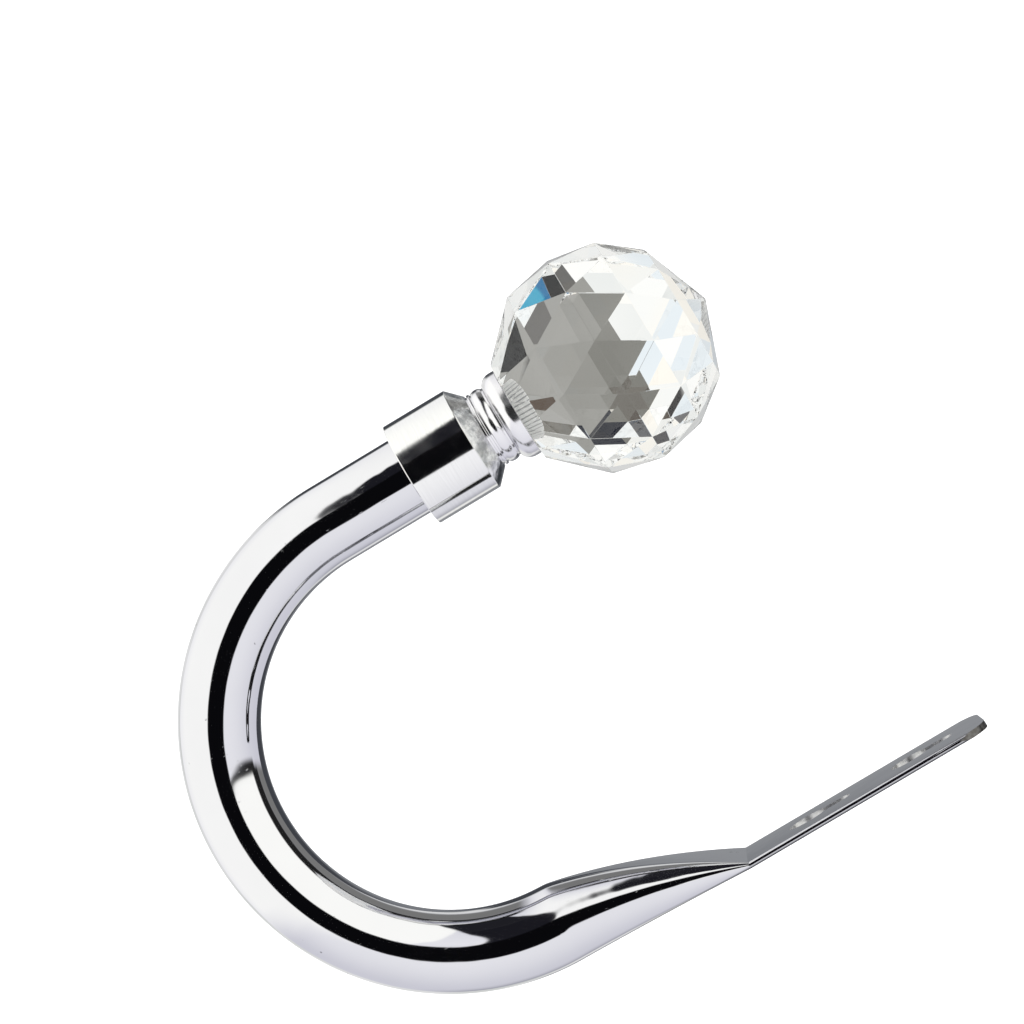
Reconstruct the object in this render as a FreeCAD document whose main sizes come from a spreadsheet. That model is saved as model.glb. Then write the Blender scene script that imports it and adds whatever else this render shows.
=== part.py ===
"""Curtain holdback: a chromed tube bent in a U, with a keyholed tab for the wall and a faceted glass ball.

Millimetres. The wall is the plane y = 0. The hook stands out from it towards -Y and lies in the plane
z = 0. The bend is at +X and both tips point to -X. The origin is on the wall face of the tab, midway
between the round entries of its two keyholes.
"""
import FreeCAD, Part
import math
import os

import Sketcher

SIZES = {
    # Bent tube
    "tube_od": 14.5,
    "tube_wall": 0.6,
    "bend_radius": 39.8,
    # Pressed end and mounting tab
    "press_length": 32.6,
    "press_lead": 0.56,
    "press_seed_flat": 2.0,
    "keyhole_spacing": 20.2,
    "keyhole_entry_d": 7.4,
    "keyhole_slot_width": 4.0,
    "keyhole_slide": 6.3,
    "keyhole_to_crease": 8.5,
    "keyhole_to_tip": 5.7,
    "tab_corner_radius": 5.5,
    # Ferrule over the tube end
    "ferrule_start": 16.5,
    "ferrule_length": 12.2,
    "ferrule_wall": 2.3,
    "ferrule_cone_length": 2.6,
    "ferrule_cone_step": 0.35,
    "ferrule_socket_depth": 10.5,
    "ferrule_edge_break": 0.15,
    "slip_clearance": 0.1,
    # Threaded plug in the tube and the stud through it
    "insert_length": 10.0,
    "insert_lead_in": 0.6,
    "stud_d": 5.0,
    "stud_clearance": 0.15,
    "stud_in_insert": 8.0,
    "stud_in_neck": 5.5,
    "stud_edge_break": 0.5,
    "stud_hole_room": 0.5,
    # Turned neck with its bead, cup and knurled spigot
    "neck_d": 13.2,
    "neck_groove_width": 0.3,
    "ridge_rise": 0.3,
    "ridge_width": 0.5,
    "bead_step": 0.15,
    "bead_rise": 0.25,
    "bead_width": 1.9,
    "cup_flare_rise": 1.6,
    "cup_flare_length": 2.3,
    "cup_rim_width": 1.1,
    "cup_edge_break": 0.15,
    "spigot_d": 8.0,
    "spigot_length": 5.5,
    "knurl_depth": 0.35,
    # Faceted glass ball
    "ball_d": 40.0,
    "ball_table_margin": 1.3,
    "ball_turn": -6.6,
    "glue_clearance": 0.1,
    "glue_room": 0.6,
}
KNURL_COUNT = 28
FACETS_PER_ROW = 12
# Latitudes of the facet corners from the tip towards the neck. The ground table ends the last row.
FACET_ROWS = (50.0, 25.0, 0.0, -27.0)
# Stations along the pressed end, as shares of its length, where its section is drawn.
PRESS_STATIONS = (0.0, 0.15, 0.3, 0.5, 0.7, 0.85, 1.0)
CAVITY_STATIONS = (0.0, 0.15, 0.3, 0.5, 0.7, 0.85, 0.96)

# Sizes that follow from the driving ones, as expressions on the sheet.
TUBE_R = "sizes.tube_od / 2"
BORE_D = "(sizes.tube_od - 2 * sizes.tube_wall)"
TAB_THICKNESS = "(2 * sizes.tube_wall)"
KEYHOLE_X = "(sizes.keyhole_spacing / 2)"
CREASE_X = f"({KEYHOLE_X} + sizes.keyhole_entry_d / 2 + sizes.keyhole_to_crease)"
TIP_X = f"-({KEYHOLE_X} + sizes.keyhole_slide + sizes.keyhole_slot_width / 2 + sizes.keyhole_to_tip)"
BEND_X = f"({CREASE_X} + sizes.press_length)"
BEND_Y = f"-(sizes.bend_radius + {TUBE_R})"
FINIAL_Y = f"-(2 * sizes.bend_radius + {TUBE_R})"

# Distances along the finial leg, from the end of the bend towards the ball.
FERRULE_CORNER = "(sizes.ferrule_start + sizes.ferrule_length)"
NECK_START = f"({FERRULE_CORNER} + sizes.ferrule_cone_length)"
TUBE_END = "(sizes.ferrule_start + sizes.ferrule_socket_depth)"
RIDGE_START = f"({NECK_START} + sizes.neck_groove_width)"
RIDGE_END = f"({RIDGE_START} + sizes.ridge_width)"
BEAD_START = f"({RIDGE_END} + sizes.neck_groove_width)"
BEAD_END = f"({BEAD_START} + sizes.bead_width)"
FLARE_START = f"({BEAD_END} + sizes.neck_groove_width)"
RIM_START = f"({FLARE_START} + sizes.cup_flare_length)"
SEAT = f"({RIM_START} + sizes.cup_rim_width)"
SPIGOT_END = f"({SEAT} + sizes.spigot_length)"
NECK_R = "(sizes.neck_d / 2)"
RIM_R = f"({NECK_R} + sizes.cup_flare_rise)"
TABLE_R = f"({RIM_R} + sizes.ball_table_margin)"
BALL_CENTRE = f"({SEAT} + sqrt((sizes.ball_d / 2) ^ 2 - {TABLE_R} ^ 2))"

doc = FreeCAD.newDocument("curtain_holdback")
sheet = doc.addObject("Spreadsheet::Sheet", "sizes")
for row, (alias, size) in enumerate(SIZES.items(), start=1):
    sheet.set(f"A{row}", alias)
    sheet.set(f"B{row}", str(size))
    sheet.setAlias(f"B{row}", alias)
doc.recompute()


def number(expression):
    """Value of an expression on the sheet, as a plain number."""
    return float(sheet.evalExpression(expression))


def new_body(label):
    body = doc.addObject("PartDesign::Body", label)
    body.Label = label
    return body


def finial_body(label):
    """Body whose +X runs along the finial leg, from the end of the bend towards the ball."""
    body = new_body(label)
    set_on_finial(body)
    return body


def set_on_finial(piece):
    half_turn = FreeCAD.Rotation(FreeCAD.Vector(0, 0, 1), 180)
    piece.Placement = FreeCAD.Placement(FreeCAD.Vector(), half_turn)
    piece.setExpression("Placement.Base.x", BEND_X)
    piece.setExpression("Placement.Base.y", FINIAL_Y)


def new_sketch(body, plane, name, offset=None):
    """Sketch on one of the body's own planes, moved along the plane's normal by an expression."""
    sketch = body.newObject("Sketcher::SketchObject", name)
    support = next(f for f in body.Origin.OriginFeatures if f.Role == plane)
    sketch.AttachmentSupport = [(support, "")]
    sketch.MapMode = "FlatFace"
    if offset is not None:
        sketch.setExpression("AttachmentOffset.Base.z", offset)
    return sketch


def bind(sketch, constraint, name, expression):
    sketch.renameConstraint(sketch.addConstraint(constraint), name)
    sketch.setExpression(f"Constraints.{name}", expression)


def pin_point(sketch, element, point, name, x=None, y=None):
    """Ties a point of a sketch element to the sketch's origin by bound distances."""
    for axis, expression in (("X", x), ("Y", y)):
        if expression is not None:
            constraint = Sketcher.Constraint(f"Distance{axis}", -1, 1, element, point, number(expression))
            bind(sketch, constraint, f"{name}{axis}", expression)


def arc_between(start, end, centre, counter_clockwise):
    """Arc from start to end about a centre, and which of its ends is the start."""
    first, last = (start, end) if counter_clockwise else (end, start)
    from_centre = [point - centre for point in (first, last)]
    angles = [math.atan2(spoke.y, spoke.x) for spoke in from_centre]
    circle = Part.Circle(centre, FreeCAD.Vector(0, 0, 1), from_centre[0].Length)
    arc = Part.ArcOfCircle(circle, angles[0], angles[1])
    return arc, (1, 2) if counter_clockwise else (2, 1)


def outline(sketch, corners, arcs=None, tag="p"):
    """Closed outline through corners given as pairs of expressions.

    arcs maps the index of a side to its centre (x, y), the axis that fixes that centre, and its sense.
    """
    arcs = arcs or {}
    points = [FreeCAD.Vector(number(x), number(y), 0) for x, y in corners]
    sides = []
    for index, start in enumerate(points):
        end = points[(index + 1) % len(points)]
        if index in arcs:
            centre_x, centre_y, fixed_axis, counter_clockwise = arcs[index]
            centre = FreeCAD.Vector(number(centre_x), number(centre_y), 0)
            shape, ends = arc_between(start, end, centre, counter_clockwise)
        else:
            shape, ends = Part.LineSegment(start, end), (1, 2)
        sides.append((sketch.addGeometry(shape, False), ends))
    for index, (side, ends) in enumerate(sides):
        follower, follower_ends = sides[(index + 1) % len(sides)]
        sketch.addConstraint(Sketcher.Constraint("Coincident", side, ends[1], follower, follower_ends[0]))
    for index, (side, ends) in enumerate(sides):
        x, y = corners[index]
        pin_point(sketch, side, ends[0], f"{tag}{index}", x, y)
        if index in arcs:
            centre_x, centre_y, fixed_axis, counter_clockwise = arcs[index]
            fixed = {"x": centre_x} if fixed_axis == "x" else {"y": centre_y}
            pin_point(sketch, side, 3, f"{tag}{index}centre", **fixed)


def circle(sketch, centre_x, diameter):
    middle = FreeCAD.Vector(number(centre_x), 0, 0)
    ring = sketch.addGeometry(Part.Circle(middle, FreeCAD.Vector(0, 0, 1), number(diameter) / 2), False)
    pin_point(sketch, ring, 3, "centre", centre_x, "0")
    bind(sketch, Sketcher.Constraint("Diameter", ring, number(diameter)), "diameter", diameter)


def turned(body, name, corners, arcs=None):
    """Revolves a half profile about the body's X axis."""
    sketch = new_sketch(body, "XY_Plane", f"{name}_profile")
    outline(sketch, corners, arcs)
    doc.recompute()
    turn = body.newObject("PartDesign::Revolution", name)
    turn.Profile = sketch
    turn.ReferenceAxis = (sketch, ["H_Axis"])
    turn.Angle = 360
    doc.recompute()
    return turn


# Bent tube with its pressed end

def pressed_height(station):
    """Outer height of the tube at a station of the pressed end: it falls ever more steeply to the crease."""
    share = f"(sizes.press_lead * {station} + (1 - sizes.press_lead) * {station} ^ 2)"
    return f"(sizes.tube_od - (sizes.tube_od - {TAB_THICKNESS}) * {share})"


def pressed_section(body, name, station, inset):
    """Section of the pressed tube: two flats joined by half rounds, with the girth of the round tube."""
    sketch = new_sketch(body, "YZ_Plane", name, f"{BEND_X} - {station} * sizes.press_length")
    height = pressed_height(station)
    middle = f"-{height} / 2"
    wall_side, room_side = f"-{inset}", f"{inset} - {height}"
    if station == 0.0:
        half_flat = "sizes.press_seed_flat / 2"
        rise = f"sqrt(({TUBE_R} - {inset}) ^ 2 - ({half_flat}) ^ 2)"
        wall_side, room_side = f"{middle} + {rise}", f"{middle} - {rise}"
        centre_z = ("0", "0")
        flat_arcs = {0: (middle, "0", "x", True), 2: (middle, "0", "x", True)}
    else:
        half_flat = f"pi / 4 * (sizes.tube_od - {height})"
        centre_z = (half_flat, f"-({half_flat})")
        flat_arcs = {}
    corners = [
        (wall_side, f"-({half_flat})"),
        (wall_side, half_flat),
        (room_side, half_flat),
        (room_side, f"-({half_flat})"),
    ]
    arcs = {
        1: (middle, centre_z[0], "y", True),
        3: (middle, centre_z[1], "y", True),
        **flat_arcs,
    }
    outline(sketch, corners, arcs)
    return sketch


def tube_run(body, name, kind, path, diameter):
    """Sweeps a circle along the centre line of the finial leg and the bend."""
    sketch = new_sketch(body, "YZ_Plane", f"{name}_section", f"{BEND_X} - {TUBE_END}")
    circle(sketch, FINIAL_Y, diameter)
    doc.recompute()
    run = body.newObject(kind, name)
    run.Profile = sketch
    run.Spine = (path, ["Edge1", "Edge2"])
    doc.recompute()
    return run


def tube_loft(body, name, kind, stations, inset):
    sections = [
        pressed_section(body, f"{name}_section_{index}", station, inset)
        for index, station in enumerate(stations)
    ]
    doc.recompute()
    loft = body.newObject(kind, name)
    loft.Profile = sections[0]
    loft.Sections = sections[1:]
    loft.Ruled = False
    doc.recompute()
    return sections[-1]


def make_hook_tube():
    body = new_body("hook_tube")

    path = new_sketch(body, "XY_Plane", "centre_line")
    leg_start = FreeCAD.Vector(number(f"{BEND_X} - {TUBE_END}"), number(FINIAL_Y), 0)
    bend_start = FreeCAD.Vector(number(BEND_X), number(FINIAL_Y), 0)
    bend_centre = FreeCAD.Vector(number(BEND_X), number(BEND_Y), 0)
    leg = path.addGeometry(Part.LineSegment(leg_start, bend_start), False)
    bend_circle = Part.Circle(bend_centre, FreeCAD.Vector(0, 0, 1), number("sizes.bend_radius"))
    bend = path.addGeometry(Part.ArcOfCircle(bend_circle, -math.pi / 2, math.pi / 2), False)
    path.addConstraint(Sketcher.Constraint("Coincident", leg, 2, bend, 1))
    pin_point(path, leg, 1, "leg_start", f"{BEND_X} - {TUBE_END}", FINIAL_Y)
    pin_point(path, bend, 1, "bend_start", BEND_X, FINIAL_Y)
    pin_point(path, bend, 2, "bend_end", BEND_X, f"-{TUBE_R}")
    pin_point(path, bend, 3, "bend_centre", x=BEND_X)
    doc.recompute()

    tube_run(body, "tube", "PartDesign::AdditivePipe", path, "sizes.tube_od")
    crease = tube_loft(body, "pressed_end", "PartDesign::AdditiveLoft", PRESS_STATIONS, "0")

    tab = body.newObject("PartDesign::Pad", "tab")
    tab.Profile = crease
    tab.Reversed = True
    tab.setExpression("Length", f"{CREASE_X} - {TIP_X}")
    doc.recompute()

    tube_run(body, "bore", "PartDesign::SubtractivePipe", path, BORE_D)
    tube_loft(body, "pressed_bore", "PartDesign::SubtractiveLoft", CAVITY_STATIONS, "sizes.tube_wall")

    round_tab_tip(body)
    cut_keyholes(body)
    return body


def round_tab_tip(body):
    """Cuts the two corners of the tab's tip to a radius."""
    corner = "sizes.tab_corner_radius"
    beyond = f"({TIP_X} - {corner})"
    tab_edge = f"(pi / 4 * (sizes.tube_od - {TAB_THICKNESS}) + {TAB_THICKNESS} / 2)"
    sketch = new_sketch(body, "XZ_Plane", "tip_corners")
    for side, sign in (("upper", ""), ("lower", "-")):
        corners = [
            (f"{TIP_X} + {corner}", f"{sign}{tab_edge}"),
            (TIP_X, f"{sign}({tab_edge} - {corner})"),
            (beyond, f"{sign}({tab_edge} - {corner})"),
            (beyond, f"{sign}({tab_edge} + {corner})"),
            (f"{TIP_X} + {corner}", f"{sign}({tab_edge} + {corner})"),
        ]
        centre = (f"{TIP_X} + {corner}", f"{sign}({tab_edge} - {corner})")
        outline(sketch, corners, {0: (*centre, "x", side == "upper")}, side)
    doc.recompute()
    cut_through_tab(body, sketch, "rounded_tip")


def cut_keyholes(body):
    """Two keyholes: the round entry takes the screw's head, and the slot towards the tip holds its shank."""
    half_slot = "(sizes.keyhole_slot_width / 2)"
    neck = f"sqrt((sizes.keyhole_entry_d / 2) ^ 2 - {half_slot} ^ 2)"
    sketch = new_sketch(body, "XZ_Plane", "keyhole_outline")
    corners = [
        (f"{KEYHOLE_X} - {neck}", half_slot),
        (f"{KEYHOLE_X} - sizes.keyhole_slide", half_slot),
        (f"{KEYHOLE_X} - sizes.keyhole_slide", f"-{half_slot}"),
        (f"{KEYHOLE_X} - {neck}", f"-{half_slot}"),
    ]
    arcs = {
        1: (f"{KEYHOLE_X} - sizes.keyhole_slide", "0", "x", True),
        3: (KEYHOLE_X, "0", "x", True),
    }
    outline(sketch, corners, arcs)
    doc.recompute()
    keyhole = cut_through_tab(body, sketch, "keyhole")
    row = body.newObject("PartDesign::LinearPattern", "keyhole_row")
    row.Originals = [keyhole]
    row.Direction = (sketch, ["H_Axis"])
    row.Reversed = True
    row.setExpression("Length", "sizes.keyhole_spacing")
    row.Occurrences = 2
    body.Tip = row
    doc.recompute()


def cut_through_tab(body, sketch, name):
    cut = body.newObject("PartDesign::Pocket", name)
    cut.Profile = sketch
    cut.Reversed = True
    cut.setExpression("Length", f"2 * {TAB_THICKNESS}")
    doc.recompute()
    return cut


# Pieces of the finial

def make_tube_insert():
    body = finial_body("tube_insert")
    start = f"({TUBE_END} - sizes.insert_length)"
    outer, tapped = f"{BORE_D} / 2", "sizes.stud_d / 2"
    turned(body, "plug", [
        (start, tapped),
        (start, f"{outer} - sizes.insert_lead_in"),
        (f"{start} + sizes.insert_lead_in", outer),
        (TUBE_END, outer),
        (TUBE_END, tapped),
    ])
    return body


def make_ferrule():
    body = finial_body("ferrule")
    socket = f"({TUBE_R} + sizes.slip_clearance)"
    outer = f"({socket} + sizes.ferrule_wall)"
    hole = "(sizes.stud_d / 2 + sizes.stud_clearance)"
    edge = "sizes.ferrule_edge_break"
    turned(body, "collar", [
        ("sizes.ferrule_start", socket),
        ("sizes.ferrule_start", f"{outer} - {edge}"),
        (f"sizes.ferrule_start + {edge}", outer),
        (FERRULE_CORNER, outer),
        (NECK_START, f"{NECK_R} + sizes.ferrule_cone_step"),
        (NECK_START, hole),
        (TUBE_END, hole),
        (TUBE_END, socket),
    ])
    return body


def make_finial_stud():
    body = finial_body("finial_stud")
    start = f"({TUBE_END} - sizes.stud_in_insert)"
    end = f"({NECK_START} + sizes.stud_in_neck)"
    radius, edge = "sizes.stud_d / 2", "sizes.stud_edge_break"
    turned(body, "rod", [
        (start, "0"),
        (start, f"{radius} - {edge}"),
        (f"{start} + {edge}", radius),
        (f"{end} - {edge}", radius),
        (end, f"{radius} - {edge}"),
        (end, "0"),
    ])
    return body


def make_neck_cup():
    body = finial_body("neck_cup")
    tapped, tapped_end = "sizes.stud_d / 2", f"({NECK_START} + sizes.stud_in_neck + sizes.stud_hole_room)"
    ridge = f"({NECK_R} + sizes.ridge_rise)"
    bead_edge = f"({NECK_R} + sizes.bead_step)"
    spigot = "sizes.spigot_d / 2"
    edge = "sizes.cup_edge_break"
    bead_middle = f"({BEAD_START} + sizes.bead_width / 2)"
    bead_round = "((sizes.bead_width ^ 2 / 4 + sizes.bead_rise ^ 2) / (2 * sizes.bead_rise))"
    flare_round = "((sizes.cup_flare_length ^ 2 + sizes.cup_flare_rise ^ 2) / (2 * sizes.cup_flare_rise))"
    corners = [
        (NECK_START, tapped),
        (NECK_START, NECK_R),
        (RIDGE_START, NECK_R),
        (RIDGE_START, ridge),
        (RIDGE_END, ridge),
        (RIDGE_END, NECK_R),
        (BEAD_START, NECK_R),
        (BEAD_START, bead_edge),
        (BEAD_END, bead_edge),
        (BEAD_END, NECK_R),
        (FLARE_START, NECK_R),
        (RIM_START, RIM_R),
        (f"{SEAT} - {edge}", RIM_R),
        (SEAT, f"{RIM_R} - {edge}"),
        (SEAT, spigot),
        (SPIGOT_END, spigot),
        (SPIGOT_END, "0"),
        (tapped_end, "0"),
        (tapped_end, tapped),
    ]
    arcs = {
        7: (bead_middle, f"{bead_edge} + sizes.bead_rise - {bead_round}", "y", False),
        10: (RIM_START, f"{RIM_R} - {flare_round}", "y", False),
    }
    turned(body, "neck", corners, arcs)
    knurl_spigot(body)
    return body


def knurl_spigot(body):
    """Straight V grooves round the spigot, from its end to the cup."""
    half_width = f"(pi * sizes.spigot_d / {KNURL_COUNT} / 2)"
    root, above = "(sizes.spigot_d / 2 - sizes.knurl_depth)", "(sizes.spigot_d / 2 + sizes.knurl_depth)"
    sketch = new_sketch(body, "YZ_Plane", "knurl_groove", SPIGOT_END)
    outline(sketch, [
        ("0", root),
        (half_width, "sizes.spigot_d / 2"),
        (half_width, above),
        (f"-{half_width}", above),
        (f"-{half_width}", "sizes.spigot_d / 2"),
    ])
    doc.recompute()
    groove = body.newObject("PartDesign::Pocket", "groove")
    groove.Profile = sketch
    groove.setExpression("Length", "sizes.spigot_length")
    doc.recompute()
    ring = body.newObject("PartDesign::PolarPattern", "knurl")
    ring.Originals = [groove]
    ring.Axis = (sketch, ["N_Axis"])
    ring.Angle = 360
    ring.Occurrences = KNURL_COUNT
    body.Tip = ring
    doc.recompute()


def make_crystal_ball():
    """Facets run in rows of triangles between circles of corners on the sphere, each row half a step on."""
    radius = number("sizes.ball_d") / 2
    table_latitude = -math.degrees(math.acos(number(TABLE_R) / radius))
    step = 360 / FACETS_PER_ROW

    def corner(row, index):
        latitude = math.radians((*FACET_ROWS, table_latitude)[row])
        turn = math.radians(number("sizes.ball_turn") + step * (index + 0.5 * (row % 2)))
        spoke = radius * math.cos(latitude)
        return FreeCAD.Vector(radius * math.sin(latitude), -spoke * math.sin(turn), spoke * math.cos(turn))

    def facet(*points):
        return Part.Face(Part.makePolygon([*points, points[0]]))

    tip = FreeCAD.Vector(radius, 0, 0)
    last = len(FACET_ROWS)
    faces = [facet(tip, corner(0, i), corner(0, i + 1)) for i in range(FACETS_PER_ROW)]
    for row in range(last):
        for i in range(FACETS_PER_ROW):
            ahead = i + row % 2
            faces.append(facet(corner(row, i), corner(row, i + 1), corner(row + 1, ahead)))
            faces.append(facet(corner(row + 1, ahead), corner(row + 1, ahead + 1), corner(row, i + 1)))
    faces.append(facet(*[corner(last, i) for i in range(FACETS_PER_ROW)]))

    blank = doc.addObject("Part::Feature", "ball_blank")
    blank.Shape = Part.Solid(Part.Shell(faces))
    blank.Placement = FreeCAD.Placement()
    blank.setExpression("Placement.Base.x", BALL_CENTRE)

    hole = doc.addObject("Part::Cylinder", "ball_hole")
    hole.setExpression("Radius", "sizes.spigot_d / 2 + sizes.glue_clearance")
    hole.setExpression("Height", "sizes.spigot_length + sizes.glue_room")
    hole.Placement = FreeCAD.Placement(FreeCAD.Vector(), FreeCAD.Rotation(FreeCAD.Vector(0, 1, 0), 90))
    hole.setExpression("Placement.Base.x", SEAT)

    ball = doc.addObject("Part::Cut", "crystal_ball")
    ball.Label = "crystal_ball"
    ball.Base = blank
    ball.Tool = hole
    set_on_finial(ball)
    doc.recompute()
    return ball


pieces = [
    make_hook_tube(),
    make_tube_insert(),
    make_ferrule(),
    make_finial_stud(),
    make_neck_cup(),
    make_crystal_ball(),
]
doc.recompute()

for item in doc.Objects:
    if "Invalid" in item.State or "Error" in item.State:
        raise RuntimeError(f"{item.Label} failed: {item.State}")

os.makedirs("parts", exist_ok=True)
for piece in pieces:
    if piece.Shape.isNull() or not piece.Shape.isValid():
        raise RuntimeError(f"{piece.Label} has no valid shape")
for piece in pieces:
    piece.Shape.exportStep(f"parts/{piece.Label}.step")
    print(f"{piece.Label}: {len(piece.Shape.Solids)} solid, {piece.Shape.Volume:.1f} mm3")
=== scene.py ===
"""The curtain holdback as it looks: mirror chrome, brushed ferrule and cut glass ball in soft light."""

import math

import bmesh
import bpy
from mathutils import Matrix, Vector


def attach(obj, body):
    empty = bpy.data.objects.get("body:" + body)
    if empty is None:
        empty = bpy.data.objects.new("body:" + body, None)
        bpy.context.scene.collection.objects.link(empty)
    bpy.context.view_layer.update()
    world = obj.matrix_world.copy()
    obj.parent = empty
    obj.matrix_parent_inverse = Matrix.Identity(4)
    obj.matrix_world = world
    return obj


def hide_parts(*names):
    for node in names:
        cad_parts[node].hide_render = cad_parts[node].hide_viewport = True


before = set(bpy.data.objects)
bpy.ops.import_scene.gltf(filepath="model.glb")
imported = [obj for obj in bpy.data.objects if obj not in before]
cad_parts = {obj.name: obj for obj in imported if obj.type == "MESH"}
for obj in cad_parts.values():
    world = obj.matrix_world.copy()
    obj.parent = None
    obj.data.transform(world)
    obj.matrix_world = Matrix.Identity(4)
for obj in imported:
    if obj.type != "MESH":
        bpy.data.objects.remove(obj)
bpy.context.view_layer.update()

MM = 0.001

# Sizes in millimetres and turns in degrees, after the solids, with fine roundings and ground edges added.
# The wall is at y = 0, and a place named U is measured along the finial's axis from the end of the bend
TUBE_D = 14.5
TUBE_WALL = 0.6
BEND_X, BEND_Y, BEND_R = 54.9, -47.05, 39.8
BEND_LENGTH = math.pi * BEND_R
AXIS_Y = BEND_Y - BEND_R
TUBE_END_X = 27.9
PRESS_LENGTH = 32.6
# The share of the press that goes evenly with its length, and how much its start is rounded
PRESS_LEAD = 0.56
PRESS_EASE = 0.0005
BORE_REACH = 22.0
CREASE_X = BEND_X - PRESS_LENGTH
TAB_THICKNESS = 1.2
TAB_TIP_X = -24.1
TAB_CORNER_R = 5.5
KEYHOLES_X = (-10.1, 10.1)
ENTRY_R, SLOT_R, SLIDE = 3.7, 2.0, 6.3

SOCKET_R, SOCKET_END_U = 7.35, 27.0
FERRULE_U, FERRULE_R, FERRULE_EDGE = 16.5, 9.65, 0.15
CONE_U, CONE_END_R = 28.7, 6.95
STUD_HOLE_R = 2.65

NECK_U, NECK_R = 31.3, 6.6
RING_U, RING_R, RING_ROUNDING = (31.6, 32.1), 6.9, 0.14
BEAD_U, BEAD_EDGE_R, BEAD_R = (32.4, 34.3), 6.75, 7.0
FLARE_U, CUP_R, CUP_ROUNDING = (34.6, 36.9), 8.2, 0.15
SEAT_U = 38.0
STUD_R, STUD_END_U = 2.5, 37.3
SPIGOT_U, SPIGOT_R, SPIGOT_EDGE = 43.5, 4.0, 0.2
KNURLS, KNURL_DEPTH, KNURL_END_DEPTH = 28, 0.35, 0.2

BALL_U, BALL_R = 55.6, 20.0
BALL_TURN = -6.6
BALL_ROWS = (50.0, 25.0, 0.0, -27.0)
FACETS_PER_ROW = 12
TABLE_R = 9.5
GROUND_EDGE, GROUND_ANGLE = 0.03, 3.0

# The camera, from the photograph
RIGHT = Vector((-0.8563, 0.5126, -0.0636))
UP = Vector((-0.5134, -0.8581, -0.0032))
TOWARD = Vector((-0.0563, 0.0299, 0.9980))
CAMERA_PLACE = Vector((-0.00146, -0.05745, 0.50011))
CAMERA_FIELD = 20.0


def new_object(name, mesh):
    piece = bpy.data.objects.new(name, mesh)
    bpy.context.scene.collection.objects.link(piece)
    return piece


def new_mesh(name, points, faces):
    """A mesh from points in millimetres, with its normals outward."""
    mesh = bpy.data.meshes.new(name)
    mesh.from_pydata([Vector(p) * MM for p in points], [], faces)
    work = bmesh.new()
    work.from_mesh(mesh)
    bmesh.ops.recalc_face_normals(work, faces=work.faces)
    work.to_mesh(mesh)
    work.free()
    return mesh


def smooth_shade(mesh, degrees):
    mesh.shade_smooth()
    mesh.set_sharp_from_angle(angle=math.radians(degrees))


def ring_faces(count, size):
    """Quads between rings that follow each other in the point list."""
    faces = []
    for i in range(count - 1):
        for j in range(size):
            k = (j + 1) % size
            a, b = i * size, (i + 1) * size
            faces.append((a + j, a + k, b + k, b + j))
    return faces


# Hook tube

ROUND_STEPS, ENTRY_STEPS, SLOT_STEPS, CORNER_STEPS = 84, 64, 32, 24
TUBE_SMOOTHING = 25
# Degrees that each half round turns to either side of its middle, a little short of the flats
FLAT_EDGE = 89.5
# Millimetres on each side of the press's start and of the crease where the rings lie closer
EASE_REACH, CREASE_REACH = 6.0, 0.6
# The few rings of the flat tab: millimetres past the crease, and before the tip
TAB_RINGS, TIP_RING = (1.5, 6.0), 12.0
# How far the cutters run past the tab, and the y that they run between
CUT_MARGIN = 2.0
CUT_FROM_Y, CUT_TO_Y = -4.0, 2.0
# The tube's finishes, in the order of its materials; the folded one has a painted dark reflection along its
# rim by the wall
PLAIN, PUNCHED, CUT, FOLDED = range(4)
# A face is upright when its normal has less than this along y, and at the tip when it has less than this
# along x. The slacks, in millimetres, are for faces at the border of a finish
UPRIGHT, TIPWARD = 0.5, -0.02
ENTRY_SLACK, TIP_SLACK = 0.1, 1.0


def pressed_height(t):
    """The tube's height t millimetres past the end of its bend, with the press's start rounded a little."""
    share = t / PRESS_LENGTH
    eased = min((share + math.sqrt(share * share + PRESS_EASE)) / 2, 1.0)
    return TUBE_D - (TUBE_D - TAB_THICKNESS) * (PRESS_LEAD * eased + (1 - PRESS_LEAD) * eased * eased)


def half_flat(height):
    """Half the width of the flats of a section pressed to this height, with the girth of the round tube."""
    return math.pi / 4 * (TUBE_D - height)


def stadium(height, inset=0.0):
    """Section of constant girth: (offset toward the outside of the bend, z), once round."""
    radius = height / 2 - inset
    flat = half_flat(height)
    middle = TUBE_D / 2 - height / 2
    turns = [math.radians(-FLAT_EDGE + 2 * FLAT_EDGE * i / ROUND_STEPS) for i in range(ROUND_STEPS + 1)]
    section = [(middle - radius, 0.0)]
    section += [(middle + radius * math.sin(a), flat + radius * math.cos(a)) for a in turns]
    section += [(middle + radius, 0.0)]
    section += [(middle + radius * math.sin(a), -flat - radius * math.cos(a)) for a in reversed(turns)]
    return section


def tube_ring(t, inset=0.0):
    """One ring of points t millimetres along the centre line from the end of the bend."""
    section = stadium(pressed_height(t), inset)
    if t >= 0:
        return [(BEND_X - t, BEND_Y + BEND_R + s, z) for s, z in section]
    if t <= -BEND_LENGTH:
        return [(BEND_X + t + BEND_LENGTH, BEND_Y - BEND_R - s, z) for s, z in section]
    a = math.pi / 2 + t / BEND_R
    return [
        (BEND_X + (BEND_R + s) * math.cos(a), BEND_Y + (BEND_R + s) * math.sin(a), z)
        for s, z in section
    ]


def spaced(start, end, count):
    return [start + (end - start) * i / count for i in range(count + 1)]


def stations(*stretches):
    """Places along the tube, from stretches of (start, end, number of steps) that follow each other."""
    made = [stretches[0][0]]
    for start, end, count in stretches:
        made += spaced(start, end, count)[1:]
    return made


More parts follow.
